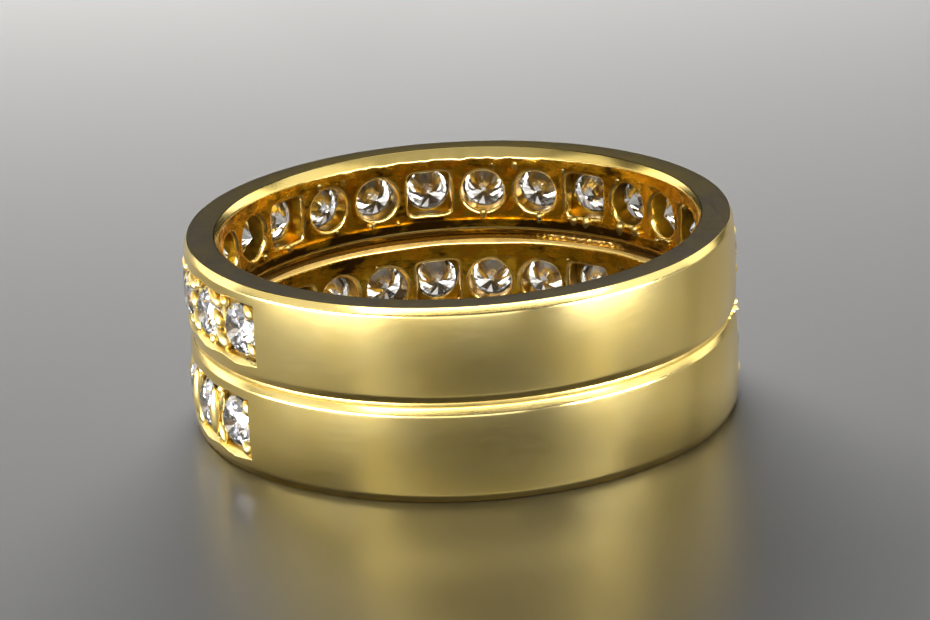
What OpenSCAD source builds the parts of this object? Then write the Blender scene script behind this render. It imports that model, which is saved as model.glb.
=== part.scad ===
// Double band ring, set with round brilliants over part of its way round.
// Lies on its side: the finger axis is Z, the lower band's flat side is at z = 0.
// Angles are measured from +X, turning towards +Y. The plain front faces -Y.

/* [Bands] */
// Inner diameter, where the finger goes
finger_d = 17.6; // [17.4:0.1:19]
// Thickness of the wall, from the finger side to the outside
wall_t = 1.36; // [1.3:0.01:1.5]
// Width of each band, along the finger
band_w = 3.52; // [3.3:0.02:4.2]
// Width of the solder joint between the two bands
joint_w = 0.16; // [0.1:0.02:0.3]
// Depth of the groove at the joint, from the bands' flat sides' edges
joint_depth = 0.15; // [0.05:0.01:0.2]

/* [Edges] */
// Height of the chamfer on the outer edges
outer_chamfer_h = 0.28; // [0.1:0.01:0.35]
// Inward reach of the chamfer on the outer edges
outer_chamfer_in = 0.15; // [0.05:0.01:0.3]
// Size of the chamfer on the inner edges
inner_chamfer = 0.28; // [0.1:0.01:0.35]

/* [Stones] */
// Stones in each band
stone_count = 17; // [3:1:17]
// Diameter of each stone
stone_d = 1.94; // [1.8:0.01:1.98]
// How far the table stands above the outside of the band
stone_proud = 0.05; // [0:0.01:0.15]
// Angle of the first stone of the upper band
upper_start = 217.4; // [210:0.1:220]
// Angle between neighbouring stones of the upper band
upper_pitch = 13.4; // [13.2:0.05:13.5]
// Angle of the first stone of the lower band
lower_start = 213.6; // [210:0.1:220]
// Angle between neighbouring stones of the lower band
lower_pitch = 13.1; // [13.1:0.05:13.5]

/* [Setting] */
// Width of the channel between the rails
channel_w = 2.1; // [2.06:0.01:2.2]
// Depth of the channel
channel_depth = 0.45; // [0.45:0.01:0.5]
// Angle from the last stone's middle to the end wall
end_wall_angle = 6; // [5.9:0.1:7]
// Thickness of the post between neighbouring stones
post_t = 0.26; // [0.16:0.02:0.28]
// Diameter of the bead grains that hold the stones
bead_d = 0.42; // [0.3:0.02:0.44]
// Width of the recessed gallery inside
gallery_w = 2.2; // [2.1:0.05:2.3]
// Depth of the recessed gallery
gallery_depth = 0.15; // [0.05:0.01:0.15]
// Diameter of the round windows behind the stones
window_d = 1.66; // [1.62:0.01:1.7]
// Width of the square windows behind the stones
window_sq = 1.7; // [1.66:0.01:1.72]
// Every so many windows, one is square
square_every = 3; // [2:1:6]

/* [Hidden] */
$fn = 96;

bore_r = finger_d / 2;
wall_r = bore_r + wall_t;
flat_in = bore_r + inner_chamfer;
flat_out = wall_r - outer_chamfer_in;
total_w = 2 * band_w + joint_w;
lower_mid = band_w / 2;
upper_mid = total_w - band_w / 2;
floor_r = wall_r - channel_depth;
gallery_r = bore_r + gallery_depth;
// Overlap of pieces that are fused, and how far a cut runs past what it cuts
eps = 0.02;
over = 1;

// Cut of the stones, as shares of their diameter
table_share = 0.57;
crown_share = 0.15;
girdle_share = 0.03;
pavilion_share = 0.43;
star_share = 0.78;
star_rise = (1 - star_share * cos(22.5)) / (1 - table_share);
main_share = 0.24;
main_drop = 1 - main_share * cos(22.5);
table_r = wall_r + stone_proud;
girdle_r = table_r - crown_share * stone_d;

// Beads stand in two pairs on each post, one pair by each rail, and half sunk in the end walls
bead_r = bead_d / 2;
bead_side = 0.22;
bead_rail_gap = 0.04;
bead_up = channel_w / 2 - bead_r - bead_rail_gap;
bead_at = girdle_r + 0.03;
end_bead_out = 0.1;
post_root = floor_r - 0.1;
post_top = girdle_r + 0.02;
window_corner = 0.25;
window_from = bore_r - over;
window_h = wall_t + over;

function stone_name(band, k) = str(band, "_stone_", k < 10 ? "0" : "", k);
function upper_angle(k) = upper_start - upper_pitch * k;
function lower_angle(k) = lower_start - lower_pitch * k;

// Points of one ring of a stone: n points at radius r and height h, turned by a
function ring_points(n, r, h, a) = [for (i = [0 : n - 1]) [r * cos(a + i * 360 / n), r * sin(a + i * 360 / n), h]];

// One band's outline in the plane of radius and height, from height z0 up
module band_outline(z0) {
    polygon([
        [bore_r, z0 + inner_chamfer],
        [flat_in, z0],
        [flat_out, z0],
        [wall_r, z0 + outer_chamfer_h],
        [wall_r, z0 + band_w - outer_chamfer_h],
        [flat_out, z0 + band_w],
        [flat_in, z0 + band_w],
        [bore_r, z0 + band_w - inner_chamfer]
    ]);
}

// Both bands with the solder that joins them
module plain_bands() {
    rotate_extrude() union() {
        band_outline(0);
        band_outline(total_w - band_w);
        translate([flat_in + joint_depth, band_w - eps])
            square([flat_out - flat_in - 2 * joint_depth, joint_w + 2 * eps]);
    }
}

// A ring-shaped cut of height h about z, from radius r1 to r2, between two angles
module arc_cut(r1, r2, h, z, a_low, a_high) {
    rotate([0, 0, a_low]) rotate_extrude(angle = a_high - a_low)
        translate([r1, z - h / 2]) square([r2 - r1, h]);
}

// Sets a child, drawn along +X at the axis, at an angle and height on the ring
module at_stone(angle, z) {
    rotate([0, 0, angle]) translate([0, 0, z]) children();
}

// Round window through the wall behind a stone
module round_window() {
    translate([window_from, 0, 0]) rotate([0, 90, 0]) cylinder(d = window_d, h = window_h);
}

// Square window with round corners
module square_window() {
    side = window_sq - 2 * window_corner;
    translate([window_from, 0, 0]) rotate([0, 90, 0]) union() {
        translate([-window_sq / 2, -side / 2, 0]) cube([window_sq, side, window_h]);
        translate([-side / 2, -window_sq / 2, 0]) cube([side, window_sq, window_h]);
        for (sx = [-1, 1], sy = [-1, 1])
            translate([sx * side / 2, sy * side / 2, 0]) cylinder(r = window_corner, h = window_h);
    }
}

// Post between two stones, with a pair of beads by each rail
module post() {
    translate([post_root, -post_t / 2, -channel_w / 2 - eps])
        cube([post_top - post_root, post_t, channel_w + 2 * eps]);
    for (side = [-1, 1], up = [-1, 1])
        translate([bead_at, side * bead_side, up * bead_up]) sphere(r = bead_r);
}

// A pair of beads on an end wall: side is +1 where the channel lies at the higher angles
module end_beads(side) {
    for (up = [-1, 1])
        translate([bead_at, side * end_bead_out, up * bead_up]) sphere(r = bead_r);
}

// The stone setting of one band, cut out of the plain bands
module setting_cuts(first, pitch, z) {
    last = first - pitch * (stone_count - 1);
    arc_cut(floor_r, wall_r + over, channel_w, z, last - end_wall_angle, first + end_wall_angle);
    arc_cut(bore_r - over, gallery_r, gallery_w, z, last - end_wall_angle, first + end_wall_angle);
    for (k = [0 : stone_count - 1])
        at_stone(first - pitch * k, z)
            if (k % square_every == 0) square_window(); else round_window();
}

// The posts and end beads of one band
module setting_posts(first, pitch, z) {
    last = first - pitch * (stone_count - 1);
    for (k = [0 : stone_count - 2]) at_stone(first - pitch * (k + 0.5), z) post();
    at_stone(first + end_wall_angle, z) end_beads(-1);
    at_stone(last - end_wall_angle, z) end_beads(1);
}

module double_band() {
    color([0.86, 0.68, 0.33]) union() {
        difference() {
            plain_bands();
            setting_cuts(upper_start, upper_pitch, upper_mid);
            setting_cuts(lower_start, lower_pitch, lower_mid);
        }
        setting_posts(upper_start, upper_pitch, upper_mid);
        setting_posts(lower_start, lower_pitch, lower_mid);
    }
}

// Round brilliant, table up along +Z, with the top of its girdle at height 0
module brilliant(d) {
    r = d / 2;
    crown = crown_share * d;
    girdle = girdle_share * d;
    pavilion = pavilion_share * d;
    points = concat(
        ring_points(8, table_share * r, crown, 22.5),
        ring_points(8, star_share * r, crown * star_rise, 0),
        ring_points(16, r, 0, 0),
        ring_points(16, r, -girdle, 0),
        ring_points(8, main_share * r, -girdle - pavilion * main_drop, 0),
        [[0, 0, -girdle - pavilion]]
    );
    // Where each ring starts in the list of points
    table = 0;
    star = 8;
    upper = 16;
    lower = 32;
    mains = 48;
    culet = 56;
    faces = concat(
        [[for (i = [7 : -1 : 0]) table + i]],
        [for (i = [0 : 7]) [star + i, table + (i + 7) % 8, table + i]],
        [for (i = [0 : 7]) [star + i, table + i, upper + 2 * i + 1]],
        [for (i = [0 : 7]) [star + (i + 1) % 8, upper + 2 * i + 1, table + i]],
        [for (i = [0 : 7]) [star + i, upper + 2 * i + 1, upper + 2 * i]],
        [for (i = [0 : 7]) [star + i, upper + 2 * i, upper + (2 * i + 15) % 16]],
        [for (i = [0 : 15]) [upper + i, lower + (i + 1) % 16, lower + i]],
        [for (i = [0 : 15]) [upper + i, upper + (i + 1) % 16, lower + (i + 1) % 16]],
        [for (i = [0 : 7]) [mains + i, lower + 2 * i, lower + 2 * i + 1]],
        [for (i = [0 : 7]) [mains + i, lower + (2 * i + 15) % 16, lower + 2 * i]],
        [for (i = [0 : 7]) [mains + i, lower + 2 * i + 1, mains + (i + 1) % 8]],
        [for (i = [0 : 7]) [culet, mains + i, mains + (i + 1) % 8]]
    );
    polyhedron(points = points, faces = faces);
}

// A stone in its place on the ring
module set_stone(angle, z) {
    color([0.93, 0.94, 0.97]) rotate([0, 0, angle])
        translate([girdle_r, 0, z]) rotate([0, 90, 0]) brilliant(stone_d);
}

double_band();
for (k = [1 : stone_count]) {
    set_stone(upper_angle(k - 1), upper_mid);
    set_stone(lower_angle(k - 1), lower_mid);
}
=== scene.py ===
"""Looks of a double band ring: two flat-sided gold bands soldered side by side, set with brilliants.

Work is in millimetres and radians until a mesh is made, which is in metres.
Angles run from +X towards +Y. The plain front faces -Y, and the finger axis is Z.
The ring lies on its side with its lower flat side at z = 0.
"""

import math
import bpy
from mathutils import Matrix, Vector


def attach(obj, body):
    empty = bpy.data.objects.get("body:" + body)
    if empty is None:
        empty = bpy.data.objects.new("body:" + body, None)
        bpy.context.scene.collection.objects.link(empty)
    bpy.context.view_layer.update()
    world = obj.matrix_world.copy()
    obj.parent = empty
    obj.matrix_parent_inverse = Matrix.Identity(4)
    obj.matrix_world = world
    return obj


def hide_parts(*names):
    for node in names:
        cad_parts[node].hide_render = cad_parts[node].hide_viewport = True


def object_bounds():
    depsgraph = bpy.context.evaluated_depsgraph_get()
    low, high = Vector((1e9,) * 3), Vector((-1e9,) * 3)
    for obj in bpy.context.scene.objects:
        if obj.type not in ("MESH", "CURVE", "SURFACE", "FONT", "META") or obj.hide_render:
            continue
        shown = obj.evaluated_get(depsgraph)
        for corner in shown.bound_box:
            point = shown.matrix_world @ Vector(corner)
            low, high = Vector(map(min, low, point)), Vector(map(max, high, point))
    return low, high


bl_info = {
    "name": "Double Band Ring",
    "version": (1, 0, 0),
    "blender": (4, 5, 0),
    "location": "View3D > Sidebar > Ring",
    "description": "Builds the gold, the setting and the studio of a double band ring",
    "category": "Add Mesh",
}

import bmesh
import bpy
import numpy as np
from mathutils import Matrix, Vector

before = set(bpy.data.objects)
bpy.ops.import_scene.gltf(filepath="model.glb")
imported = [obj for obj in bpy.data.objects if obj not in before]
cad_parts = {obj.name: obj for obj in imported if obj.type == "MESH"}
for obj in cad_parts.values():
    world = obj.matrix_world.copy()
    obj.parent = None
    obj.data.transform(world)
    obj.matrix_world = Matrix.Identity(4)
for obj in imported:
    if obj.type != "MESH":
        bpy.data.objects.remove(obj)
cad_low, cad_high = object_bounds()

MM = 0.001
BODY = "root"
METAL_NODE = "double_band"
MERGE_WITHIN = 1e-6
BLACK = (0.0, 0.0, 0.0)
# Angles over which an edge is kept crisp
BAND_CREASE, GRAIN_CREASE, SOLDER_CREASE = (math.radians(angle) for angle in (38.0, 80.0, 70.0))

# Order of the gold finishes on each band
POLISHED, SATIN, WORN_AND_SHADED, SETTING, SOLDERED = range(5)


def length_setting(name, description, size):
    """Length setting, given in millimetres."""
    return bpy.props.FloatProperty(
        name=name, description=description, default=size * MM, unit="LENGTH")


def angle_setting(name, description, degrees):
    """Angle setting, given in degrees."""
    return bpy.props.FloatProperty(
        name=name, description=description, default=math.radians(degrees), unit="ROTATION")


def colour_setting(name, description, value):
    """Colour setting, given as red, green and blue."""
    return bpy.props.FloatVectorProperty(
        name=name, description=description, default=value, subtype="COLOR", size=3)


def share_setting(name, description, share):
    """Setting between 0 and 1."""
    return bpy.props.FloatProperty(
        name=name, description=description, default=share, min=0.0, max=1.0, subtype="FACTOR")


class BandSettings(bpy.types.PropertyGroup):
    """Sizes of the two bands."""

    finger: length_setting("Finger hole", "Inner diameter of the ring", 17.6)
    wall: length_setting("Wall", "Thickness from the finger side to the outside", 1.36)
    width: length_setting("Band width", "Width of each band along the finger", 3.52)
    joint: length_setting("Joint", "Width of the soldered joint between the bands", 0.16)
    chamfer_height: length_setting("Chamfer height", "Height of the outer chamfer", 0.28)
    chamfer_reach: length_setting("Chamfer reach", "Inward reach of the outer chamfer", 0.17)
    inner_chamfer: length_setting("Inner chamfer", "Size of the chamfer round the finger hole", 0.28)
    barrel: length_setting("Barrel", "How much the outside curves in towards its edges", 0.05)
    wear: length_setting("Wear", "Depth of the unevenness inside the ring", 0.02)


class StoneSettings(bpy.types.PropertyGroup):
    """Places of the stones and of the windows behind them."""

    count: bpy.props.IntProperty(
        name="Stones", description="Stones in each band", default=17, min=3)
    upper_first: angle_setting("Upper first", "Angle of the upper band's first stone", 217.4)
    upper_pitch: angle_setting("Upper pitch", "Angle between the upper band's stones", 13.4)
    lower_first: angle_setting("Lower first", "Angle of the lower band's first stone", 213.6)
    lower_pitch: angle_setting("Lower pitch", "Angle between the lower band's stones", 13.1)
    end_angle: angle_setting("End wall", "Angle from the end stone's middle to the end wall", 6.0)
    channel_width: length_setting("Channel width", "Width between the rails", 2.1)
    channel_depth: length_setting("Channel depth", "Depth of the channel for the stones", 0.45)
    gallery_width: length_setting("Gallery width", "Width of the recess inside", 2.2)
    gallery_depth: length_setting("Gallery depth", "Depth of the recess inside", 0.15)
    window_round: length_setting("Round window", "Diameter of the round windows", 1.66)
    window_square: length_setting("Square window", "Width of the square windows", 1.7)
    square_every: bpy.props.IntProperty(
        name="Square every", description="Every so many windows, one is square", default=3, min=1)


class GrainSettings(bpy.types.PropertyGroup):
    """Sizes of the posts and grains that hold the stones."""

    post_width: length_setting("Post width", "Width of the bar between two stones", 0.26)
    grain_width: length_setting("Grain width", "Width of a grain at its fullest", 0.40)
    top: length_setting("Grain top", "How far the grains' tops lie under the outside", 0.02)


class SolderSettings(bpy.types.PropertyGroup):
    """Shape of the solder between the bands."""

    groove: length_setting("Groove", "Depth of the solder under the outside of the bands", 0.185)
    rough: length_setting("Roughness", "Height of the lumps where the solder is rough", 0.36)
    rough_angle: angle_setting("Rough place", "Angle where the solder outside is roughest", -4.0)
    bulge: length_setting("Bulge", "How far the solder swells inwards inside the ring", 0.22)
    bulge_angle: angle_setting("Bulge place", "Angle where the solder inside swells", 58.0)


class FinishSettings(bpy.types.PropertyGroup):
    """Colours and polish of the gold and the stones."""

    gold: colour_setting("Gold", "Colour of the polished gold", (0.95, 0.69, 0.19))
    pale_gold: colour_setting("Pale gold", "Paler, greener gold in the polish", (0.94, 0.72, 0.25))
    amber: colour_setting("Amber", "Deep gold of the worn inside", (0.95, 0.54, 0.025))
    # Brown is tarnish in streaks inside, and painted shade in the hollows, windows and solder groove
    brown: colour_setting("Brown", "Tarnish in the hollows of the inside", (0.075, 0.038, 0.005))
    solder: colour_setting("Solder", "Pinkish tone of the solder inside the ring", (0.82, 0.52, 0.15))
    grey: colour_setting("Satin grey", "Dull tone of the flat sides", (0.60, 0.52, 0.40))
    polish: share_setting("Polish", "Roughness of the polished gold", 0.2)
    satin: share_setting("Satin", "Roughness of the flat sides", 0.34)


class StageSettings(bpy.types.PropertyGroup):
    """Camera, floor and lights."""

    distance: length_setting("Camera distance", "From the ring's top to the camera", 140.0)
    elevation: angle_setting("Camera height", "Angle of the camera above the ring's top", 17.629)
    pitch: angle_setting("Camera pitch", "How far it looks below the ring's top", 1.381)
    yaw: angle_setting("Camera yaw", "How far it looks to the right", 0.037)
    roll: angle_setting("Camera roll", "Turn of the camera about its view", -3.047)
    lens: bpy.props.FloatProperty(
        name="Lens", description="Focal length in millimetres on a 36 mm sensor",
        default=147.32, min=1.0)
    floor: colour_setting("Floor", "Colour of the floor", (0.66, 0.65, 0.63))
    surround: colour_setting("Surround", "Light that comes from the room", (0.010, 0.010, 0.011))


SETTINGS = {
    "ring_bands": BandSettings,
    "ring_stones": StoneSettings,
    "ring_grains": GrainSettings,
    "ring_solder": SolderSettings,
    "ring_finish": FinishSettings,
    "ring_stage": StageSettings,
}


def smooth_step(t):
    """Eased share: 3 t squared minus 2 t cubed, with t held between 0 and 1."""
    t = np.clip(t, 0.0, 1.0)
    return t * t * (3.0 - 2.0 * t)


def polar(r, angle, z):
    """Points at radius r, an angle round the finger axis and height z."""
    r, angle, z = np.broadcast_arrays(r, angle, z)
    return np.stack([r * np.cos(angle), r * np.sin(angle), z], -1)


def whole_turn(steps):
    """Angles of one turn, in equal steps."""
    return np.linspace(0.0, 2 * math.pi, steps, endpoint=False)


def apart(angle, place):
    """Angle between two directions, from none to half a turn."""
    return np.abs((angle - place + math.pi) % (2 * math.pi) - math.pi)


def waves(angle, z, seed, rounds, rises, count=14):
    """Unevenness, mostly between -1 and 1: a sum of sines in angle and height.

    Each sine has whole waves round the ring, so that the sum closes on itself.
    """
    draw = np.random.default_rng(seed)
    total = np.zeros(np.broadcast(angle, z).shape)
    for _ in range(count):
        turns = draw.integers(rounds[0], rounds[1])
        rise = draw.uniform(rises[0], rises[1])
        phase = draw.uniform(0.0, 2.0 * math.pi)
        total += np.sin(turns * angle + rise * z + phase)
    return total / math.sqrt(count)


def chain_of(angles, points):
    """Chain of radius and height at every angle; a plain number is the same at all of them."""
    one = np.ones_like(angles)
    return np.stack([np.stack([r * one, z * one], -1) for r, z in points], -2)


def rounded_path(chain, radii, steps):
    """Chain whose inner corners are rounded.

    Each corner becomes a quadratic curve from radius before it to radius after it.
    """
    points = np.moveaxis(chain, -2, 0)
    path = [points[0]]
    t = np.linspace(0.0, 1.0, steps)
    for before, corner, after, radius in zip(points, points[1:], points[2:], radii):
        back = before - corner
        ahead = after - corner
        start = corner + back * radius / np.linalg.norm(back, axis=-1, keepdims=True)
        end = corner + ahead * radius / np.linalg.norm(ahead, axis=-1, keepdims=True)
        for share in t:
            path.append((1 - share) ** 2 * start + 2 * share * (1 - share) * corner + share ** 2 * end)
    path.append(points[-1])
    return np.stack(path, -2)


def grid_faces(rows, columns, close_rows=False, close_columns=False):
    """Quads of a grid of points, which may close on itself either way."""
    i = np.arange(rows if close_rows else rows - 1)
    j = np.arange(columns if close_columns else columns - 1)
    i, j = np.meshgrid(i, j, indexing="ij")
    i_next, j_next = (i + 1) % rows, (j + 1) % columns
    corners = [i * columns + j, i_next * columns + j, i_next * columns + j_next, i * columns + j_next]
    return np.stack(corners, -1).reshape(-1, 4)


class Patches:
    """Grids of points gathered into one mesh, with a finish for each of their faces."""

    def __init__(self):
        self.points, self.quads, self.finishes, self.size = [], [], [], 0

    def add(self, grid, finish=0, close_rows=False, close_columns=False):
        """Adds one grid, or a stack of like grids along the first axes.

        The finish is one number, or an array that fits the grid's rows and columns of faces.
        """
        rows, columns = grid.shape[-3:-1]
        stack = grid.reshape(-1, rows * columns, 3)
        faces = grid_faces(rows, columns, close_rows, close_columns)
        starts = self.size + np.arange(len(stack)) * rows * columns
        shape = (rows if close_rows else rows - 1, columns if close_columns else columns - 1)
        self.quads.append((faces[None] + starts[:, None, None]).reshape(-1, 4))
        self.points.append(stack.reshape(-1, 3))
        self.finishes.append(np.tile(np.broadcast_to(finish, shape).ravel(), len(stack)))
        self.size += stack.shape[0] * rows * columns

    def arrays(self):
        """All points, all quads and the quads' finishes."""
        return np.concatenate(self.points), np.concatenate(self.quads), np.concatenate(self.finishes)


def new_object(name, data):
    """Object in the scene with the given mesh, light or camera."""
    item = bpy.data.objects.new(name, data)
    bpy.context.scene.collection.objects.link(item)
    return item


def new_piece(name, points, quads, finishes, materials, sharp=BAND_CREASE):
    """Mesh object from points in millimetres and quads, riding on the ring's body.

    Points that meet are merged, normals turned outwards, and edges over the sharp angle kept crisp.
    """
    mesh = bpy.data.meshes.new(name)
    mesh.vertices.add(len(points))
    mesh.vertices.foreach_set("co", (points * MM).astype(np.float32).ravel())
    mesh.loops.add(quads.size)
    mesh.loops.foreach_set("vertex_index", quads.astype(np.int32).ravel())
    mesh.polygons.add(len(quads))
    mesh.polygons.foreach_set("loop_start", np.arange(0, quads.size, 4, dtype=np.int32))
    mesh.polygons.foreach_set("material_index", finishes.astype(np.int32))
    mesh.update(calc_edges=True)
    for material in materials:
        mesh.materials.append(material)
    work = bmesh.new()
    work.from_mesh(mesh)
    bmesh.ops.remove_doubles(work, verts=work.verts, dist=MERGE_WITHIN)
    bmesh.ops.dissolve_degenerate(work, edges=work.edges, dist=MERGE_WITHIN / 10)
    bmesh.ops.recalc_face_normals(work, faces=work.faces)
    work.to_mesh(mesh)
    work.free()
    mesh.shade_smooth()
    mesh.set_sharp_from_angle(angle=sharp)
    piece = new_object(name, mesh)
    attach(piece, BODY)
    return piece


class RingShape:
    """Sizes in millimetres that the settings give, shared by every piece."""

    def __init__(self, scene):
        bands, stones, grains = scene.ring_bands, scene.ring_stones, scene.ring_grains
        self.bore_r = bands.finger / 2 / MM
        self.wall_r = self.bore_r + bands.wall / MM
        self.half = bands.width / 2 / MM
        self.joint = bands.joint / MM
        self.chamfer_h = bands.chamfer_height / MM
        self.chamfer_in = bands.chamfer_reach / MM
        self.inner = bands.inner_chamfer / MM
        self.barrel = bands.barrel / MM
        self.wear = bands.wear / MM
        self.flat_out = self.wall_r - self.chamfer_in
        self.wall_top = self.half - self.chamfer_h
        self.lower_mid = self.half
        self.upper_mid = 3 * self.half + self.joint
        self.channel = stones.channel_width / 2 / MM
        self.floor_r = self.wall_r - stones.channel_depth / MM
        self.gallery = stones.gallery_width / 2 / MM
        self.gallery_r = self.bore_r + stones.gallery_depth / MM
        self.round_r = stones.window_round / 2 / MM
        self.square_r = stones.window_square / 2 / MM
        self.post = grains.post_width / MM
        self.grain = grains.grain_width / MM
        self.grain_top = grains.top / MM

    def wall(self, z):
        """Radius of the outside: a shallow barrel, lower by the square of the height."""
        return self.wall_r - self.barrel * (z / self.wall_top) ** 2


# Seeds of the two bands' uneven work
UPPER_SEED, LOWER_SEED = 11, 29
# Steps of the meshes
CELL_STEPS, PLAIN_STEPS, CORNER_STEPS, FILLET_STEPS = 16, 150, 6, 5
PATCH_RINGS = np.array([0.0, 0.12, 0.3, 0.6, 1.0])

# Channel, in millimetres: its lip, the bright cut over it and the strip beside the cut
LIP_DEPTH, RIM_STRIP = 0.2, 0.02
CUT_END, CUT_SCALLOP = 0.08, 0.07
# Broken edges: how far the lip's and the rim's lie under, over and beside their corner
LIP_UNDER, LIP_OVER, LIP_BESIDE = 0.03, 0.01, 0.012
RIM_UNDER, RIM_BESIDE = 0.016, 0.012
# Shares of the scallop: on the rail that faces down, and its small ripple
LOWER_SCALLOP, CUT_RIPPLE = 1.7, 0.15
# Windows, in millimetres, and the power of the square ones' outline
WINDOW_FILLET, TUBE_STEP = 0.13, 0.25
SEAT_DEPTH, SEAT_STEP = 0.12, 0.02
SQUARE_POWER = 7.0
# How a window's outline wavers: lobes round it and their most as a share of its size, of which
# each window has at least a part
WINDOW_WAVER = ((2, 0.010), (3, 0.009), (5, 0.006), (9, 0.003))
WAVER_LEAST = 0.3
# Gallery and edges, in millimetres; the gallery's lip and foot are in radius and height
GALLERY_SLOPE, GALLERY_LIP, GALLERY_FOOT = 0.04, (0.02, 0.008), (0.04, 0.02)
WALL_END, CLIMB_SHARES = 0.12, (0.0, 0.33, 0.66)
EDGE_RADII = (0.06, 0.03, 0.03, 0.06)
INNER_STEEPNESS = 1.05
# Inner chamfer on each band's top edge: its mean size and how it changes round the ring
LOWER_EDGE, LOWER_EDGE_WAVER = 0.15, 0.02
UPPER_EDGE, UPPER_EDGE_LEAN, UPPER_EDGE_OVAL = 0.25, 0.02, 0.08
# Wear: depth of the worn layer, the quiet margin beside a flat side and the share of fine wear
WORN_DEPTH, QUIET_MARGIN, QUIET_BLEND, FINE_WEAR = 0.25, 0.44, 0.14, 0.2


class Band:
    """One band's stone places and its surfaces, about its own middle height."""

    def __init__(self, scene, shape, upper):
        stones = scene.ring_stones
        self.shape = shape
        self.upper = upper
        self.seed = UPPER_SEED if upper else LOWER_SEED
        self.middle = shape.upper_mid if upper else shape.lower_mid
        first = stones.upper_first if upper else stones.lower_first
        pitch = stones.upper_pitch if upper else stones.lower_pitch
        self.count = stones.count
        order = np.arange(self.count)[::-1]
        self.stones = first - pitch * order
        self.square = (order % stones.square_every) == 0
        between = (self.stones[1:] + self.stones[:-1]) / 2
        start = self.stones[0] - stones.end_angle
        end = self.stones[-1] + stones.end_angle
        self.borders = np.concatenate([[start], between, [end]])

    def set_angles(self):
        """Angles of every grid line across the set part, each once."""
        share = np.linspace(0.0, 1.0, CELL_STEPS + 1)
        low, high = self.borders[:-1, None], self.borders[1:, None]
        cells = low + (high - low) * share
        return np.concatenate([cells[:, :-1].ravel(), cells[-1:, -1]])

    def cut(self, angles, side):
        """Width of the bright cut on a rail: a scallop in each cell, deepest beside the stone's middle.

        A scallop is the square of a sine across its cell, with a ripple that is a sum of sines.
        """
        cell = np.clip(np.searchsorted(self.borders, angles, side="right") - 1, 0, self.count - 1)
        low, high = self.borders[cell], self.borders[cell + 1]
        place = np.clip((angles - low) / (high - low), 0.0, 1.0)
        inside = (angles >= self.borders[0]) & (angles <= self.borders[-1])
        deep = np.sin(math.pi * place) ** 2
        ripple = deep * waves(angles, side * 5.0, self.seed + 3, (60, 190), (0.1, 0.3), 6)
        scallop = CUT_SCALLOP * (1.0 if side > 0 else LOWER_SCALLOP)
        return CUT_END + np.where(inside, scallop * (deep + CUT_RIPPLE * ripple), 0.0)

    def inner_edge(self, angles, side):
        """Size of the inner chamfer: the setting's on a bottom edge, and uneven on a top edge.

        The upper band's is a mean size less a cosine, plus a sine and less a cosine of twice the
        angle. The lower band's wavers by a sum of sines.
        """
        if side < 0:
            return np.full_like(angles, self.shape.inner)
        if self.upper:
            lean = UPPER_EDGE_LEAN
            oval = UPPER_EDGE_OVAL * np.cos(2 * angles)
            return UPPER_EDGE - lean * np.cos(angles) + lean * np.sin(angles) - oval
        waver = waves(angles, 0.0, self.seed + 5, (3, 17), (0.1, 0.3), 6)
        return LOWER_EDGE + LOWER_EDGE_WAVER * waver

    def channel_chain(self, angles, side):
        """Rail from the channel's floor to its rim: a wall, a lip and a bright cut bevel."""
        s = self.shape
        low, lip = s.channel, s.wall_r - LIP_DEPTH
        rim = low + self.cut(angles, side)
        out = s.wall(rim)
        return chain_of(angles, [
            (s.floor_r, low),
            ((s.floor_r + lip) / 2, low),
            (lip - LIP_UNDER, low),
            (lip + LIP_OVER, low + LIP_BESIDE),
            ((lip + out) / 2, (low + rim) / 2),
            (out - RIM_UNDER, rim - RIM_BESIDE),
            (s.wall(rim + RIM_STRIP), rim + RIM_STRIP),
        ])

    def rail_chain(self, angles, side):
        """Rail from the channel's rim over the outer chamfer, flat side and inner chamfer inwards."""
        s = self.shape
        rim = s.channel + self.cut(angles, side) + RIM_STRIP
        inner = self.inner_edge(angles, side)
        top = s.wall_top
        near = top - WALL_END
        heights = [rim + (near - rim) * t for t in CLIMB_SHARES]
        edge = chain_of(angles, [
            (s.wall(near), near),
            (s.wall(top), top),
            (s.flat_out, s.half),
            (s.bore_r + inner, s.half),
            (s.bore_r, s.half - inner * INNER_STEEPNESS),
            (s.bore_r, s.gallery),
        ])
        climb = chain_of(angles, [(s.wall(z), z) for z in heights])
        return np.concatenate([climb, rounded_path(edge, EDGE_RADII, CORNER_STEPS)], -2)

    def rail_finish(self, side):
        """Finish of each face along the rail chain, from the rim to the gallery."""
        corner = [POLISHED] * (CORNER_STEPS - 1)
        top_chamfer = POLISHED if self.upper else SOLDERED
        inner = [top_chamfer if side > 0 else WORN_AND_SHADED]
        outer = [POLISHED] * len(CLIMB_SHARES) + [POLISHED] + corner + [POLISHED]
        return outer + corner + [SATIN] + corner + inner + corner + [WORN_AND_SHADED]

    def gallery_chain(self, angles):
        """Step from the inner strip down into the gallery."""
        s = self.shape
        return chain_of(angles, [
            (s.bore_r, s.gallery),
            (s.bore_r + GALLERY_LIP[0], s.gallery - GALLERY_LIP[1]),
            (s.gallery_r - GALLERY_FOOT[0], s.gallery - GALLERY_FOOT[1]),
            (s.gallery_r, s.gallery - GALLERY_SLOPE),
        ])

    def lift(self, chain, angles, side):
        """Points of a chain of radius and height, carried round at the angles."""
        return polar(chain[..., 0], angles[:, None], self.middle + side * chain[..., 1])

    def add_rails(self, patches):
        """Both rails of the set part: their chain of radius and height carried round."""
        angles = self.set_angles()
        for side in (1, -1):
            channel = self.channel_chain(angles, side)[:, :-1]
            gallery = self.gallery_chain(angles)[:, 1:]
            chain = np.concatenate([channel, self.rail_chain(angles, side), gallery], -2)
            setting, worn = [SETTING] * channel.shape[1], [WORN_AND_SHADED] * gallery.shape[1]
            patches.add(self.lift(chain, angles, side), setting + self.rail_finish(side) + worn)

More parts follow.
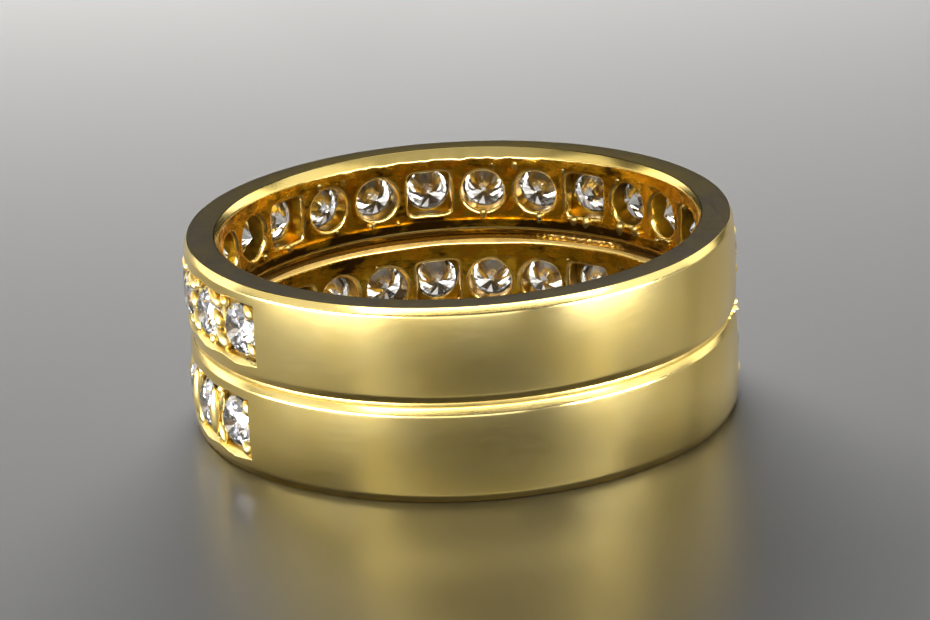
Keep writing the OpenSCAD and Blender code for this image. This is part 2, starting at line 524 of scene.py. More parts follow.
    def add_plain(self, patches):
        """The plain part: a closed outline carried round from the set part's end to its start."""
        s = self.shape
        angles = np.linspace(self.borders[-1], self.borders[0] + 2 * math.pi, PLAIN_STEPS + 1)
        up = self.rail_chain(angles, 1)
        down = self.rail_chain(angles, -1) * np.array([1.0, -1.0])
        share = np.linspace(-1.0, 1.0, CELL_STEPS + 1)
        rim = up[:, 0, 1]
        z_out = rim[:, None] * share
        outside = np.stack([s.wall(z_out), z_out], -1)
        z_in = -s.gallery * np.ones_like(rim)[:, None] * share
        inside = np.stack([np.full_like(z_in, s.bore_r), z_in], -1)
        chain = np.concatenate([outside, up[:, 1:], inside[:, 1:-1], down[:, :0:-1]], -2)
        flat = [POLISHED] * CELL_STEPS
        finish = flat + self.rail_finish(1) + [WORN_AND_SHADED] * CELL_STEPS + self.rail_finish(-1)[::-1]
        patches.add(self.lift(chain, angles, 1), finish, close_columns=True)

    def add_end_walls(self, patches):
        """End walls of the channel and of the gallery: each row spans from rail to rail.

        A row bows with the barrel of the outside, by the square of the way out to the rim.
        """
        s = self.shape
        share = np.linspace(-1.0, 1.0, CELL_STEPS + 1)
        for angle in (self.borders[0], self.borders[-1]):
            here = np.array([angle])
            chain = self.channel_chain(here, 1)[0]
            rows = np.arange(len(chain)) / (len(chain) - 1)
            z = chain[:, 1:] * share
            bow = (s.wall(z) - s.wall(chain[:, 1:])) * rows[:, None] ** 2
            patches.add(polar(chain[:, :1] + bow, angle, self.middle + z), SETTING)
            chain = self.gallery_chain(here)[0]
            patches.add(polar(chain[:, :1], angle, self.middle + chain[:, 1:] * share), WORN_AND_SHADED)

    def window_outline(self, grow, seat=False):
        """Outline of each window as sideways and height: a circle, or a square with round corners.

        The square is a superellipse. Each outline wavers by a few cosines, as cut by hand.
        A seat is always round.
        """
        s = self.shape
        side, rise = self.square_walk()
        turn = np.arctan2(rise, side)[None, :]
        powers = np.abs(np.cos(turn)) ** SQUARE_POWER + np.abs(np.sin(turn)) ** SQUARE_POWER
        corner = powers ** (-1.0 / SQUARE_POWER)
        reach = np.where(self.square[:, None] & (not seat), s.square_r * corner, s.round_r)
        draw = np.random.default_rng(self.seed)
        for lobes, amount in WINDOW_WAVER:
            phase = draw.uniform(0, 2 * math.pi, (self.count, 1))
            size = draw.uniform(WAVER_LEAST, 1.0, (self.count, 1)) * amount
            reach = reach * (1 + size * np.cos(lobes * turn + phase))
        reach = reach + grow
        return reach * np.cos(turn), reach * np.sin(turn)

    def square_walk(self):
        """Walk round a square of half width 1, with the cell's steps on each side."""
        run = np.linspace(-1.0, 1.0, CELL_STEPS + 1)[:-1]
        one = np.ones(CELL_STEPS)
        side = np.concatenate([run, one, -run, -one])
        rise = np.concatenate([-one, run, one, -run])
        return side, rise

    def add_cells(self, patches):
        """Wall behind each stone: the channel's floor, the gallery and the window between them.

        Each face blends from the window's outline to the cell's border, at one radius.
        """
        s = self.shape
        side, rise = self.square_walk()
        low, high = self.borders[:-1, None], self.borders[1:, None]
        edge_angle = low + (high - low) * (side + 1) / 2
        ring = PATCH_RINGS[None, :, None]
        for radius, half, grow, seat, finish in (
                (s.floor_r, s.channel, 0.0, True, SETTING),
                (s.gallery_r, s.gallery - GALLERY_SLOPE, WINDOW_FILLET, False, WORN_AND_SHADED)):
            y, z = self.window_outline(grow, seat)
            hole = self.stones[:, None] + np.arcsin(y / radius)
            angle = hole[:, None] * (1 - ring) + edge_angle[:, None] * ring
            height = z[:, None] * (1 - ring) + (half * rise)[None, None] * ring
            patches.add(polar(radius, angle, self.middle + height), finish, close_columns=True)
        # Rings of the tube through the wall: radius, growth of the outline, whether it is a seat
        rings = [
            (s.gallery_r + WINDOW_FILLET * (1 - math.cos(a)), WINDOW_FILLET * (1 - math.sin(a)), False)
            for a in np.linspace(0.0, math.pi / 2, FILLET_STEPS)
        ]
        rings += [
            (s.gallery_r + TUBE_STEP, 0.0, False),
            (s.floor_r - SEAT_DEPTH - SEAT_STEP, 0.0, False),
            (s.floor_r - SEAT_DEPTH, 0.0, True),
            (s.floor_r, 0.0, True),
        ]
        tube = []
        for radius, grow, seat in rings:
            y, z = self.window_outline(grow, seat)
            tube.append(polar(radius, self.stones[:, None] + np.arcsin(y / radius), self.middle + z))
        fillet = FILLET_STEPS - 1
        finish = np.array([POLISHED] * fillet + [WORN_AND_SHADED] * (len(rings) - 1 - fillet))[:, None]
        patches.add(np.stack(tube, 1), finish, close_columns=True)

    def surface(self):
        """Points, quads and finishes of the whole band, with the inside worn uneven."""
        patches = Patches()
        self.add_rails(patches)
        self.add_plain(patches)
        self.add_end_walls(patches)
        self.add_cells(patches)
        points, quads, finishes = patches.arrays()
        return self.worn(points), quads, finishes

    def worn(self, points):
        """Moves the inside in and out by sums of sines, less towards the outside."""
        s = self.shape
        r = np.hypot(points[:, 0], points[:, 1])
        angle = np.arctan2(points[:, 1], points[:, 0])
        z = points[:, 2] - self.middle
        near = 1 - smooth_step((r - s.gallery_r) / WORN_DEPTH)
        near = near * (1 - smooth_step((np.abs(z) - (s.half - QUIET_MARGIN)) / QUIET_BLEND))
        lumps = waves(angle, z, self.seed + 1, (20, 90), (-6.0, 6.0))
        fine = waves(angle, z, self.seed + 2, (120, 320), (-16.0, 16.0))
        move = s.wear * near * (lumps + FINE_WEAR * fine)
        scale = (r + move) / r
        return points * np.stack([scale, scale, np.ones_like(scale)], -1)


def both_bands(scene):
    """The two bands, by the start of their pieces' names."""
    shape = RingShape(scene)
    return {"upper": Band(scene, shape, True), "lower": Band(scene, shape, False)}.items()


def new_material(name, colour, values):
    """Material whose surface shader has a plain colour and the given values."""
    material = bpy.data.materials.new(name)
    material.use_nodes = True
    inputs = material.node_tree.nodes["Principled BSDF"].inputs
    inputs["Base Color"].default_value = (*colour, 1.0)
    for key, value in values.items():
        inputs[key].default_value = value
    return material


def blend(first, second, share):
    """Colour that lies a share of the way from the first to the second."""
    return tuple((1 - share) * one + share * other for one, other in zip(first, second))


def mm_span(low, high):
    """Span given in millimetres."""
    return low * MM, high * MM


# Where the finishes change. Distances backward: the painted sheen at the flat sides' back,
# the plain front inside
SHEEN_BACK_SPAN, FRONT_SPAN = mm_span(0.0, 9.0), mm_span(-4.0, -7.0)
# Heights: foot and top of the strip of painted shade above the solder
SHADE_STRIP_FOOT, SHADE_STRIP_TOP = mm_span(3.5, 3.7), mm_span(4.5, 4.25)
# Radii: across a flat side for its painted sheen, into the windows for their painted shade, up
# out of the painted shade of the setting's hollows, in over the solder's ledge and into the
# painted shade of the hollow behind it
SHEEN_FLAT_SPAN, WINDOW_SHADE_SPAN, SETTING_SHADE_SPAN = mm_span(9.9, 9.2), mm_span(9.03, 9.12), mm_span(9.70, 9.90)
LEDGE_SPAN, GROOVE_SHADE_SPAN = mm_span(9.7, 9.4), mm_span(9.07, 9.13)


class GoldShader:
    """Nodes of one gold material, and the places on the ring that its patterns read.

    Noise scales are per metre, and bump distances in metres.
    """

    def __init__(self, name, colour, roughness):
        self.material = new_material(name, colour, {"Metallic": 1.0, "Roughness": roughness})
        self.tree = self.material.node_tree
        self.place = self.node("ShaderNodeTexCoord").outputs["Object"]
        parts = self.node("ShaderNodeSeparateXYZ", {0: self.place})
        x, self.backward, self.height = parts.outputs
        squares = [self.math("MULTIPLY", side, side) for side in (x, self.backward)]
        self.radius = self.math("SQRT", self.math("ADD", *squares))
        self.angle = self.math("ARCTAN2", self.backward, x)

    def node(self, kind, inputs=None, **settings):
        """New node: inputs are plain values, or other nodes' sockets to link."""
        node = self.tree.nodes.new(kind)
        for key, value in settings.items():
            setattr(node, key, value)
        for key, value in (inputs or {}).items():
            socket = node.inputs[key]
            if isinstance(value, bpy.types.NodeSocket):
                self.tree.links.new(value, socket)
            else:
                socket.default_value = (*value, 1.0) if socket.type == "RGBA" else value
        return node

    def math(self, operation, *values, clamp=False):
        """Result of a maths node on numbers or sockets."""
        inputs = dict(enumerate(values))
        return self.node("ShaderNodeMath", inputs, operation=operation, use_clamp=clamp).outputs[0]

    def noise(self, scale, detail, roughness=0.55, vector=None):
        """Noise between 0 and 1 on the object's coordinates or another vector."""
        inputs = {"Vector": vector or self.place, "Scale": scale, "Detail": detail}
        inputs["Roughness"] = roughness
        return self.node("ShaderNodeTexNoise", inputs).outputs["Fac"]

    def streaks(self, along, across, up, detail, roughness):
        """Noise on angle, radius and height, each scaled: a stretched pattern follows the ring."""
        inputs = {
            "X": self.math("MULTIPLY", self.angle, along),
            "Y": self.math("MULTIPLY", self.radius, across),
            "Z": self.math("MULTIPLY", self.height, up),
        }
        return self.noise(1.0, detail, roughness, self.node("ShaderNodeCombineXYZ", inputs).outputs[0])

    def span(self, value, low, high, to_low, to_high):
        """Value mapped in a straight line from one span to another, and held inside it."""
        numbers = {"From Min": low, "From Max": high, "To Min": to_low, "To Max": to_high}
        return self.node("ShaderNodeMapRange", {"Value": value, **numbers}).outputs["Result"]

    def ramp(self, fac, stops):
        """Colour ramp through stops of place and colour."""
        node = self.node("ShaderNodeValToRGB", {"Fac": fac})
        elements = node.color_ramp.elements
        while len(elements) < len(stops):
            elements.new(0.5)
        for element, (place, colour) in zip(elements, stops):
            element.position = place
            element.color = (*colour, 1.0)
        return node.outputs["Color"]

    def mix(self, share, first, second):
        """Blend of two colours."""
        return self.node("ShaderNodeMix", {0: share, 6: first, 7: second}, data_type="RGBA").outputs[2]

    def bump(self, height, strength, distance, under=None):
        """Bump from a height, on top of another bump if one is given."""
        inputs = {"Height": height, "Strength": strength, "Distance": distance}
        if under is not None:
            inputs["Normal"] = under
        return self.node("ShaderNodeBump", inputs).outputs["Normal"]

    def finished(self, colour, roughness, normal):
        """The material, its surface linked to a colour, a roughness and a bump."""
        inputs = self.tree.nodes["Principled BSDF"].inputs
        for key, value in (("Base Color", colour), ("Roughness", roughness), ("Normal", normal)):
            self.tree.links.new(value, inputs[key])
        return self.material


def polished_gold(finish):
    """Polished gold: slight changes of tone, hairlines round the band and a faint ripple."""
    gold = GoldShader("polished_gold", finish.gold, finish.polish)
    tone = gold.span(gold.noise(260.0, 3.0), 0.35, 0.65, 0.0, 1.0)
    lines = gold.streaks(14.0, 9000.0, 26000.0, 5.0, 0.7)
    haze = gold.span(gold.noise(1500.0, 5.0), 0.45, 0.75, 0.0, 0.012)
    line_gloss = gold.span(lines, 0.3, 0.7, finish.polish * 0.85, finish.polish * 1.15)
    ripple = gold.bump(gold.noise(420.0, 2.0), 0.006, 0.00002)
    return gold.finished(
        gold.mix(tone, finish.gold, finish.pale_gold),
        gold.math("ADD", line_gloss, haze),
        gold.bump(lines, 0.015, 0.000004, ripple))


def satin_gold(finish):
    """Flat sides: dull grey-gold with filing marks, a painted sheen at the back, painted glints."""
    gold = GoldShader("satin_gold", finish.grey, finish.satin)
    tone = gold.span(gold.noise(900.0, 6.0, 0.65), 0.3, 0.7, 0.0, 0.55)
    # Painted sheen: lighter towards the back of the ring and towards the flat's inner edge
    back = gold.math("MULTIPLY", gold.span(gold.backward, *SHEEN_BACK_SPAN, 0.0, 1.0),
                     gold.span(gold.radius, *SHEEN_FLAT_SPAN, 0.3, 0.9))
    # Painted glints: small bright spots in the colour, where light would catch the satin
    glint_specks = gold.span(gold.noise(5200.0, 2.0), 0.69, 0.74, 0.0, 0.9)
    share = gold.math("ADD", gold.math("ADD", tone, back), glint_specks, clamp=True)
    marks = gold.streaks(60.0, 30000.0, 2000.0, 6.0, 0.7)
    grit = gold.noise(14000.0, 3.0, 0.7)
    return gold.finished(
        gold.mix(share, finish.grey, finish.pale_gold),
        gold.span(marks, 0.3, 0.7, finish.satin * 0.82, finish.satin * 1.25),
        gold.bump(grit, 0.35, 0.00001, gold.bump(marks, 0.25, 0.000008)))


def worn_and_shaded_gold(finish):
    """Inside of the ring: amber gold with brown tarnish in streaks, scrapes and small pits.

    It is darker where shade is painted: in a strip above the solder and on the windows' walls.
    It is plainer at the front.
    """
    gold = GoldShader("worn_and_shaded_gold", finish.amber, 0.25)
    cloud = gold.noise(480.0, 6.0, 0.6)
    smear = gold.streaks(7.0, 1500.0, 2400.0, 6.0, 0.65)
    mixed = gold.math("MULTIPLY", gold.math("ADD", cloud, smear), 0.5)
    # Painted shade: darker in a strip just above the solder, under the upper band's windows
    strip = gold.math("MULTIPLY", gold.span(gold.height, *SHADE_STRIP_FOOT, 0.0, 1.0),
                      gold.span(gold.height, *SHADE_STRIP_TOP, 0.0, 0.12))
    plain = gold.span(gold.backward, *FRONT_SPAN, 0.0, 0.09)
    mixed = gold.math("ADD", gold.math("SUBTRACT", mixed, strip), plain)
    between = blend(finish.amber, finish.brown, 0.4)
    face = gold.ramp(mixed, (
        (0.39, finish.brown),
        (0.47, between),
        (0.52, finish.amber),
        (0.62, blend(finish.amber, finish.gold, 0.15)),
    ))
    # Painted shade: the windows' walls inside the holes are painted darker; they are also rougher
    window = gold.span(gold.radius, *WINDOW_SHADE_SPAN, 0.0, 1.0)
    tube = gold.mix(gold.span(cloud, 0.35, 0.65, 0.0, 1.0), finish.brown, between)
    scrapes = gold.bump(smear, 0.35, 0.00002, gold.bump(cloud, 0.5, 0.00006))
    return gold.finished(
        gold.mix(window, face, tube),
        gold.math("ADD", gold.span(mixed, 0.42, 0.58, 0.36, 0.15), gold.math("MULTIPLY", window, 0.14)),
        gold.bump(gold.noise(5200.0, 5.0, 0.6), 0.25, 0.00002, scrapes))


def setting_gold(finish):
    """Gold between the stones: bright cuts and grains, over hollows darkened with painted shade."""
    gold = GoldShader("setting_gold", finish.gold, 0.14)
    cloud = gold.noise(2400.0, 5.0, 0.6)
    # Painted shade: darker towards the channel's floor, deep between the stones
    deep = gold.span(gold.radius, *SETTING_SHADE_SPAN, 0.7, 0.0)
    tone = gold.math("MULTIPLY", deep, gold.span(cloud, 0.3, 0.6, 1.0, 0.5), clamp=True)
    return gold.finished(
        gold.mix(tone, finish.pale_gold, finish.brown),
        gold.span(cloud, 0.3, 0.7, 0.24, 0.38),
        gold.bump(cloud, 0.14, 0.00002))


def solder_gold(finish):
    """Solder: gold outside, a pinkish tan ledge inside the ring, and painted shade in the hollow behind
    it.
    """
    gold = GoldShader("solder_gold", finish.gold, 0.25)
    cloud = gold.noise(1900.0, 6.0, 0.62)
    smear = gold.streaks(30.0, 6000.0, 9000.0, 5.0, 0.6)
    within = gold.span(gold.radius, *LEDGE_SPAN, 0.0, 1.0)
    # Painted shade: the solder's face deep in the groove behind the ledge is painted dark brown
    hollow = gold.span(gold.radius, *GROOVE_SHADE_SPAN, 0.0, 1.0)
    ledge = gold.ramp(smear, (
        (0.30, blend(finish.solder, BLACK, 0.2)),
        (0.50, finish.solder),
        (0.72, blend(finish.solder, finish.gold, 0.5)),
    ))
    inside = gold.mix(hollow, ledge, finish.brown)
    return gold.finished(
        gold.mix(within, finish.gold, inside),
        gold.span(cloud, 0.35, 0.65, 0.42, 0.28),
        gold.bump(cloud, 0.07, 0.00002))


def clear_stone():
    """Colourless cut stone: clear, highly refracting and smooth."""
    values = {"Roughness": 0.08, "IOR": 2.42, "Transmission Weight": 1.0}
    return new_material("clear_stone", (0.90, 0.87, 0.81), values)


# Makers of the gold finishes, in their order on each band
FINISHES = (polished_gold, satin_gold, worn_and_shaded_gold, setting_gold, solder_gold)


class RING_OT_bands(bpy.types.Operator):
    """Make the upper and the lower band as closed gold surfaces."""

    bl_idname = "ring.bands"
    bl_label = "Bands"

    def execute(self, context):
        materials = [make(context.scene.ring_finish) for make in FINISHES]
        for side, band in both_bands(context.scene):
            piece = new_piece(side + "_band", *band.surface(), materials)
            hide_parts(METAL_NODE)
        return {"FINISHED"}


# Grains: rings and sides, the power of their width's rise and fall, and its gain towards the tip
GRAIN_RINGS, GRAIN_SIDES = 9, 12
GRAIN_POWER, GRAIN_ROOT, GRAIN_GAIN = 0.6, 0.7, 0.45


def teardrops(roots, tips, widths, normals):
    """Grains: a circle carried from root to tip, fullest past its middle and closed at both ends.

    The width follows a power of the sine of the share of the way, and is fuller near the tip.
    """
    t = np.linspace(0.0, 1.0, GRAIN_RINGS)
    turn = whole_turn(GRAIN_SIDES)
    axis = tips - roots
    along = axis / np.linalg.norm(axis, axis=-1, keepdims=True)
    across = np.cross(along, normals)
    across /= np.linalg.norm(across, axis=-1, keepdims=True)
    up = np.cross(across, along)
    full = np.sin(math.pi * t) ** GRAIN_POWER * (GRAIN_ROOT + GRAIN_GAIN * t)
    spine = roots[:, None, None] + axis[:, None, None] * t[:, None, None]
    girth = (widths[:, None] / 2 * full)[:, :, None, None]
    sideways = np.cos(turn)[:, None] * across[:, None, None]
    upwards = np.sin(turn)[:, None] * up[:, None, None]
    return spine + girth * (sideways + upwards)


# Grains at a post, in millimetres from its middle:
# root sideways, root height, tip sideways, tip height, share of the grain's width
UPPER_GRAINS = (
    (-0.83, 1.07, 0.08, 0.56, 1.0),
    (0.16, 1.05, 0.58, 0.72, 0.85),
    (-0.46, 0.42, 0.02, -0.20, 0.95),
    (-0.92, -0.60, -0.56, -0.98, 0.75),
    (-0.36, -0.28, 0.44, -0.92, 1.0),
)
LOWER_GRAINS = (
    (-0.34, 0.98, -0.40, -1.04, 1.25),
    (0.42, 1.00, 0.02, 0.02, 0.75),
    (-0.08, -0.32, 0.34, -1.08, 0.8),
)
# Grains at an end wall, from the wall towards the end stone, in the same order
UPPER_END_GRAINS = (
    (0.58, 1.06, 0.12, 0.58, 1.0),
    (0.50, -0.30, 0.08, -0.84, 1.0),
)
LOWER_END_GRAINS = (
    (0.34, 1.04, 0.04, 0.46, 0.9),
    (0.46, -0.52, 0.08, -1.06, 1.15),
)

# Depths of their roots and tips under the grain tops, their seeded shifts sideways and in height,
# in millimetres, and the seeded change of their width as a share
ROOT_DEPTH, TIP_DEPTH = 0.10, 0.12
ROOT_SHIFT, TIP_SHIFT, WIDTH_SHIFT = (0.03, 0.02), (0.04, 0.04), 0.1

# Posts, in millimetres: how far they run into the gold, and their tops' depth under the outside
# with its rise at the rails; then the shares of their width, and the power of their taper
POST_RINGS, POST_SIDES = 17, 14
POST_INTO_RAIL, POST_INTO_FLOOR = 0.08, 0.06
UPPER_POST_DEPTH, LOWER_POST_DEPTH, POST_RISE = 0.24, 0.16, 0.10
POST_WAIST, POST_FLARE, POST_TAPER = 0.85, 0.75, 14

# Drops of metal inside the ring: from angle, to angle in degrees, drops at each window
DROPS = ((8.0, 66.0, 5), (66.0, 90.0, 2), (100.0, 126.0, 3), (126.0, 155.0, 1))
# Their spread round a window, the share of them under the windows, their width and its gain,
# the most they are stretched, and how far they lie inside the gallery's edge and in the gold
DROP_SPREAD, DROPS_BELOW = math.radians(5.5), 0.75
DROP_WIDTH, DROP_GAIN, DROP_STRETCH = 0.16, 0.30, 1.7
DROP_INSET, DROP_SHIFT, DROP_DEPTH = 0.10, 0.10, 0.10


class Grains:
    """Posts and grains of one band, placed about the middle between two stones."""

    def __init__(self, band):
        self.band = band
        self.shape = band.shape
        self.draw = np.random.default_rng(band.seed + 7)

    def place(self, angle, depth, sideways, height):
        """Points at a depth under the outside, a distance sideways and a height on the band."""
        r = self.shape.wall_r - depth
        return polar(r, angle + np.arctan2(sideways, r), self.band.middle + height)

    def jitter(self, count, amount):
        """Small seeded shifts, as set by hand."""
        return self.draw.uniform(-amount, amount, count)

    def bars(self, between):
        """Posts: a flat ellipse carried up the channel, wider and higher at the rails.

        The width gains by the fourth power of the way to a rail, and the height by the third.
        """
        s = self.shape
        t = np.linspace(-1.0, 1.0, POST_RINGS)
        turn = whole_turn(POST_SIDES)
        reach = s.channel + POST_INTO_RAIL
        taper = np.sqrt(np.clip(1 - np.abs(t) ** POST_TAPER, 0.0, 1.0))
        wide = s.post / 2 * (POST_WAIST + POST_FLARE * np.abs(t) ** 4) * taper
        depth = UPPER_POST_DEPTH if self.band.upper else LOWER_POST_DEPTH
        top = s.wall_r - depth + POST_RISE * np.abs(t) ** 3
        base = s.floor_r - POST_INTO_FLOOR
        middle, tall = (top + base) / 2, (top - base) / 2 * taper
        y = wide[:, None] * np.cos(turn)
        r = middle[:, None] + tall[:, None] * np.sin(turn)
        z = np.broadcast_to((reach * t)[:, None], y.shape)
        angle = between[:, None, None] + np.arctan2(y, r)[None]
        return polar(r[None], angle, self.band.middle + z[None])

    def leaning(self, angles, side, table):
        """Grains at the given angles, as a table places them; side turns the table round."""
        n = len(angles)

        def end(depth, sideways, height, shift):
            sideways = side * sideways + self.jitter(n, shift[0])
            depth = self.shape.grain_top + depth
            return self.place(angles, depth, sideways, height + self.jitter(n, shift[1]))

        groups = []
        for root_side, root_height, tip_side, tip_height, share in table:
            root = end(ROOT_DEPTH, root_side, root_height, ROOT_SHIFT)
            tip = end(TIP_DEPTH, tip_side, tip_height, TIP_SHIFT)
            width = self.shape.grain * share * (1 + self.jitter(n, WIDTH_SHIFT))
            groups.append((root, tip, width))
        return groups

    def all_grains(self, between):
        """Grains at every post and at both end walls."""
        upper = self.band.upper
        ends = UPPER_END_GRAINS if upper else LOWER_END_GRAINS
        groups = self.leaning(between, 1, UPPER_GRAINS if upper else LOWER_GRAINS)
        groups += self.leaning(self.band.borders[:1], 1, ends)
        return groups + self.leaning(self.band.borders[-1:], -1, ends)

    def drops(self):
        """Small drops of metal left inside round the windows, most of them under the windows."""
        s = self.shape
        stones = np.degrees(self.band.stones)
        counts = sum(each * ((stones > low) & (stones < high)) for low, high, each in DROPS)
        angle = np.repeat(self.band.stones, counts)
        n = len(angle)
        angle = angle + self.jitter(n, DROP_SPREAD)
        rail = np.where(self.draw.uniform(size=n) < DROPS_BELOW, -1.0, 1.0)
        wide = DROP_WIDTH + DROP_GAIN * self.draw.uniform(0.0, 1.0, n) ** 2
        long = wide * self.draw.uniform(1.0, DROP_STRETCH, n)
        height = self.band.middle + rail * (s.gallery - DROP_INSET + self.jitter(n, DROP_SHIFT))
        r = s.bore_r + DROP_DEPTH
        return [(polar(r, angle, height - long / 2), polar(r, angle, height + long / 2), wide)]

    def surface(self):
        """Points, quads and finishes of all posts and grains."""
        band = self.band
        between = band.borders[1:-1]
        patches = Patches()
        patches.add(self.bars(between), close_columns=True)
        groups = self.all_grains(between) + self.drops()
        roots, tips, widths = (np.concatenate(part) for part in zip(*groups))
        normals = roots * np.array([1.0, 1.0, 0.0])
        patches.add(teardrops(roots, tips, widths, normals), close_columns=True)
        return patches.arrays()


class RING_OT_grains(bpy.types.Operator):
    """Make the posts and grains that hold the stones."""

    bl_idname = "ring.grains"
    bl_label = "Posts and Grains"

    def execute(self, context):
        material = bpy.data.materials["setting_gold"]
        for side, band in both_bands(context.scene):
            new_piece(side + "_grains", *Grains(band).surface(), [material], GRAIN_CREASE)
        return {"FINISHED"}


# Solder: steps round the ring and points round its outline, its distance from the bore and how
# far it runs into each band, and the powers of its outline
SOLDER_STEPS, SOLDER_SIDES = 900, 32
SOLDER_INSIDE, SOLDER_OVERLAP = 0.36, 0.09
RADIUS_POWER, HEIGHT_POWER = 0.35, 0.6
# Shares of its roughness on the even parts and where it swells, the angles over which its two
# lumpy places fade, and the share of the finer lumps
EVEN_OUTSIDE, EVEN_INSIDE, SWOLLEN_GAIN = 0.01, 0.025, 0.18
ROUGH_FADE, SWOLLEN_FADE, FINE_LUMPS = math.radians(16.0), math.radians(30.0), 0.5


class RING_OT_solder(bpy.types.Operator):
    """Make the solder that joins the two bands."""

    bl_idname = "ring.solder"
    bl_label = "Solder"

    def execute(self, context):
        shape = RingShape(context.scene)
        solder = context.scene.ring_solder
        angle = whole_turn(SOLDER_STEPS)[:, None]
        turn = whole_turn(SOLDER_SIDES)[None, :]
        # Its outline is a flat superellipse, from the inside to the groove. It wavers by sums of
        # sines, most at its rough place outside and where it swells inside.
        inner, outer = shape.bore_r + SOLDER_INSIDE, shape.wall_r - solder.groove / MM
        cosine, sine = np.cos(turn), np.sin(turn)
        reach = (outer - inner) / 2 * np.sign(cosine) * np.abs(cosine) ** RADIUS_POWER
        r = (inner + outer) / 2 + reach
        z = (shape.joint / 2 + SOLDER_OVERLAP) * np.sign(sine) * np.abs(sine) ** HEIGHT_POWER
        swollen = apart(angle, solder.bulge_angle)
        rough_out = EVEN_OUTSIDE + smooth_step(1 - apart(angle, solder.rough_angle) / ROUGH_FADE)
        rough_in = EVEN_INSIDE + SWOLLEN_GAIN * smooth_step(1 - swollen / SWOLLEN_FADE)
        lumps = waves(angle, z, 5, (90, 260), (-20.0, 20.0))
        lumps = lumps + FINE_LUMPS * waves(angle, z, 6, (300, 700), (-40.0, 40.0))
        out, into = np.maximum(cosine, 0.0), np.maximum(-cosine, 0.0)
        r = r + solder.rough / 2 / MM * lumps * (out * rough_out - into * rough_in)
        r = r - into * solder.bulge / MM * smooth_step(1 - swollen / ROUGH_FADE)
        points = polar(r, angle, shape.lower_mid + shape.half + shape.joint / 2 + z)
        patches = Patches()
        patches.add(points, close_rows=True, close_columns=True)
        material = bpy.data.materials["solder_gold"]
        new_piece("solder_joint", *patches.arrays(), [material], SOLDER_CREASE)
        return {"FINISHED"}


class RING_OT_stones(bpy.types.Operator):
    """Give the cut stones their clear material."""

    bl_idname = "ring.stones"
    bl_label = "Stones"

    def execute(self, context):
        material = clear_stone()
        for name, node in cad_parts.items():
            if name != METAL_NODE:
                node.data.materials.clear()
                node.data.materials.append(material)
        return {"FINISHED"}


# Soft lights: name, angle round the ring and height above it in degrees,
# distance, width and height in metres, power in watts
SOFT_LIGHTS = (
    ("key_back", 95.0, 22.0, 0.16, 0.136, 0.05, 0.30),
    ("near_left", 214.0, 1.0, 0.07, 0.074, 0.010, 0.0850),
    ("near_side", 168.0, 1.0, 0.07, 0.037, 0.010, 0.0018),
    ("near_front", 268.0, 1.5, 0.05, 0.042, 0.010, 0.0036),
    ("near_right", 327.0, 1.0, 0.07, 0.040, 0.010, 0.0660),
    ("near_end", 7.0, 1.0, 0.07, 0.037, 0.010, 0.0006),
    ("strip_front", 279.0, 42.0, 0.28, 0.60, 0.10, 1.50),
    ("strip_left", 190.0, 24.0, 0.28, 0.34, 0.12, 0.10),
    ("low_left", 148.0, 8.0, 0.28, 0.18, 0.09, 0.10),
    ("strip_right", 352.0, 22.0, 0.28, 0.22, 0.12, 0.10),
    ("low_right", 25.0, 11.0, 0.28, 0.11, 0.09, 0.05),
    ("back_left", 135.0, 28.0, 0.28, 0.18, 0.08, 0.09),
    ("back_right", 42.0, 28.0, 0.28, 0.18, 0.08, 0.09),
    ("high_left", 196.0, 47.0, 0.28, 0.24, 0.10, 0.075),
    ("high_right", 350.0, 48.0, 0.28, 0.30, 0.12, 0.12),
    ("high_back", 80.0, 60.0, 0.28, 0.12, 0.10, 0.045),
    ("overhead", 270.0, 78.0, 0.28, 0.30, 0.26, 0.09),
)
FLOOR_LIGHTS = ("key_back",)
# The near lights are a little cool
CARD_COLOUR = (0.78, 0.82, 1.0)
FLOOR_HALF, FLOOR_DROP, FLOOR_ROUGHNESS = 0.6, 0.00001, 0.3
SENSOR_WIDTH, CLIP_RANGE = 36.0, (0.001, 5.0)


def area_light(name, turn, rise, distance, size, power):
    """Soft rectangular light at a distance from the ring, turned towards its middle."""
    data = bpy.data.lights.new(name, "AREA")
    data.shape = "RECTANGLE"
    data.size, data.size_y = size
    data.energy = power
    middle = Vector((0.0, 0.0, cad_high.z / 2))
    turn, rise = math.radians(turn), math.radians(rise)
    away = Vector((math.cos(turn), math.sin(turn), math.tan(rise)))
    light = new_object(name, data)
    light.location = middle + away.normalized() * distance
    light.rotation_euler = away.to_track_quat("Z", "Y").to_euler()
    return light


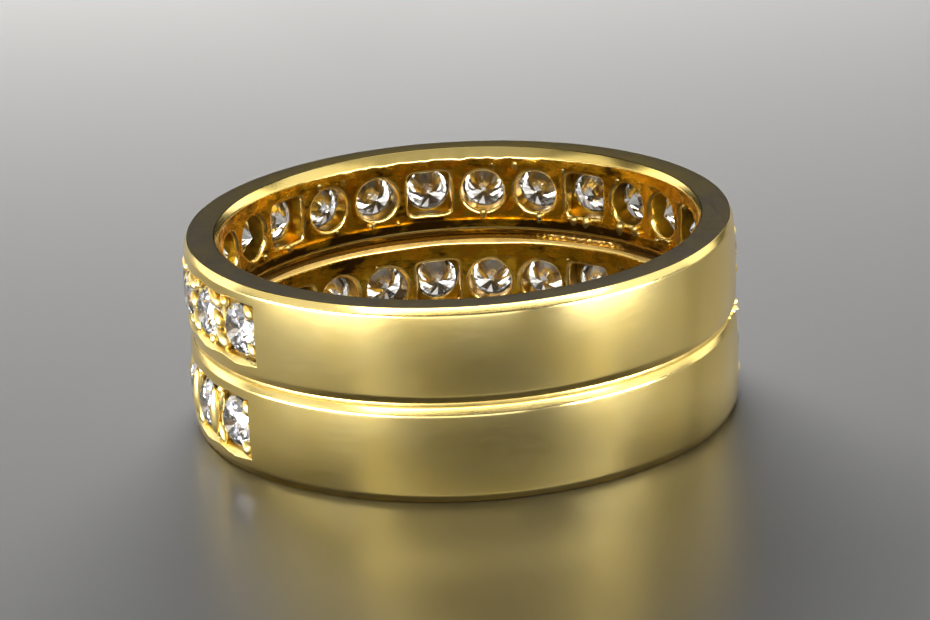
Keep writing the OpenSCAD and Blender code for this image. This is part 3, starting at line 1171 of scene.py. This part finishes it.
class RING_OT_stage(bpy.types.Operator):
    """Set the floor, the soft lights and the camera."""

    bl_idname = "ring.stage"
    bl_label = "Studio"

    def execute(self, context):
        scene = context.scene
        stage = scene.ring_stage
        self.make_floor(stage)
        self.make_lights(scene, stage)
        self.make_camera(scene, stage)
        return {"FINISHED"}

    def make_floor(self, stage):
        """Square floor of pale acrylic with a soft gloss, just under the ring."""
        mesh = bpy.data.meshes.new("floor")
        corners = [(x * FLOOR_HALF, y * FLOOR_HALF, -FLOOR_DROP)
                   for x, y in ((-1, -1), (1, -1), (1, 1), (-1, 1))]
        mesh.from_pydata(corners, [], [(0, 1, 2, 3)])
        mesh.materials.append(new_material("pale_floor", stage.floor, {"Roughness": FLOOR_ROUGHNESS}))
        new_object("floor", mesh)

    def make_lights(self, scene, stage):
        """Soft lights round the ring: one lights the floor, the others are seen in the gold.

        The near and the low ones leave the floor out, where they would show as hard patches.
        """
        all_but_floor = bpy.data.collections.new("all_but_floor")
        all_but_floor.objects.link(bpy.data.objects["floor"])
        all_but_floor.collection_objects[0].light_linking.link_state = "EXCLUDE"
        for name, turn, rise, distance, wide, tall, power in SOFT_LIGHTS:
            light = area_light(name, turn, rise, distance, (wide, tall), power)
            light.visible_diffuse = name in FLOOR_LIGHTS
            light.visible_glossy = name not in FLOOR_LIGHTS
            light.visible_camera = False
            if name.startswith("near"):
                light.data.color = CARD_COLOUR
            if name.startswith(("near", "low")):
                light.light_linking.receiver_collection = all_but_floor
        scene.cycles.caustics_reflective = False
        world = bpy.data.worlds.new("room")
        world.use_nodes = True
        world.node_tree.nodes["Background"].inputs["Color"].default_value = (*stage.surround, 1.0)
        scene.world = world
        scene.view_settings.view_transform = "Standard"

    def make_camera(self, scene, stage):
        """Camera at the photograph's angle, aimed from the middle of the ring's top."""
        top = cad_high.z
        lift, pitch = stage.elevation, stage.elevation + stage.pitch
        place = Vector((0.0, -stage.distance * math.cos(lift), top + stage.distance * math.sin(lift)))
        level = math.cos(pitch)
        ahead = Vector((level * math.sin(stage.yaw), level * math.cos(stage.yaw), -math.sin(pitch)))
        right = ahead.cross(Vector((0.0, 0.0, 1.0))).normalized()
        up = right.cross(ahead)
        cos_roll, sin_roll = math.cos(stage.roll), math.sin(stage.roll)
        turned_right = right * cos_roll + up * sin_roll
        turned_up = up * cos_roll - right * sin_roll
        data = bpy.data.cameras.new("camera")
        data.sensor_width = SENSOR_WIDTH
        data.lens = stage.lens
        data.clip_start, data.clip_end = CLIP_RANGE
        camera = new_object("camera", data)
        turn = Matrix((turned_right, turned_up, -ahead)).transposed().to_4x4()
        camera.matrix_world = Matrix.Translation(place) @ turn
        scene.camera = camera


OPERATORS = (RING_OT_bands, RING_OT_grains, RING_OT_solder, RING_OT_stones, RING_OT_stage)


class RING_PT_build(bpy.types.Panel):
    """Sidebar panel with the ring's settings and steps."""

    bl_idname = "RING_PT_build"
    bl_label = "Double Band Ring"
    bl_space_type = "VIEW_3D"
    bl_region_type = "UI"
    bl_category = "Ring"

    def draw(self, context):
        layout = self.layout
        for operator in OPERATORS:
            layout.operator(operator.bl_idname)
        for key, group in SETTINGS.items():
            box = layout.box()
            box.label(text=group.__doc__)
            for item in group.__annotations__:
                box.prop(getattr(context.scene, key), item)


CLASSES = (*SETTINGS.values(), *OPERATORS, RING_PT_build)


def register():
    """Registers the classes and puts the settings on the scene."""
    for item in CLASSES:
        bpy.utils.register_class(item)
    for key, group in SETTINGS.items():
        setattr(bpy.types.Scene, key, bpy.props.PointerProperty(type=group))


def unregister():
    """Takes the settings and the classes away again."""
    for key in SETTINGS:
        delattr(bpy.types.Scene, key)
    for item in reversed(CLASSES):
        bpy.utils.unregister_class(item)


def main():
    """Builds the ring and its stage."""
    register()
    bpy.ops.ring.bands()
    bpy.ops.ring.grains()
    bpy.ops.ring.solder()
    bpy.ops.ring.stones()
    bpy.ops.ring.stage()


if __name__ == "__main__":
    main()
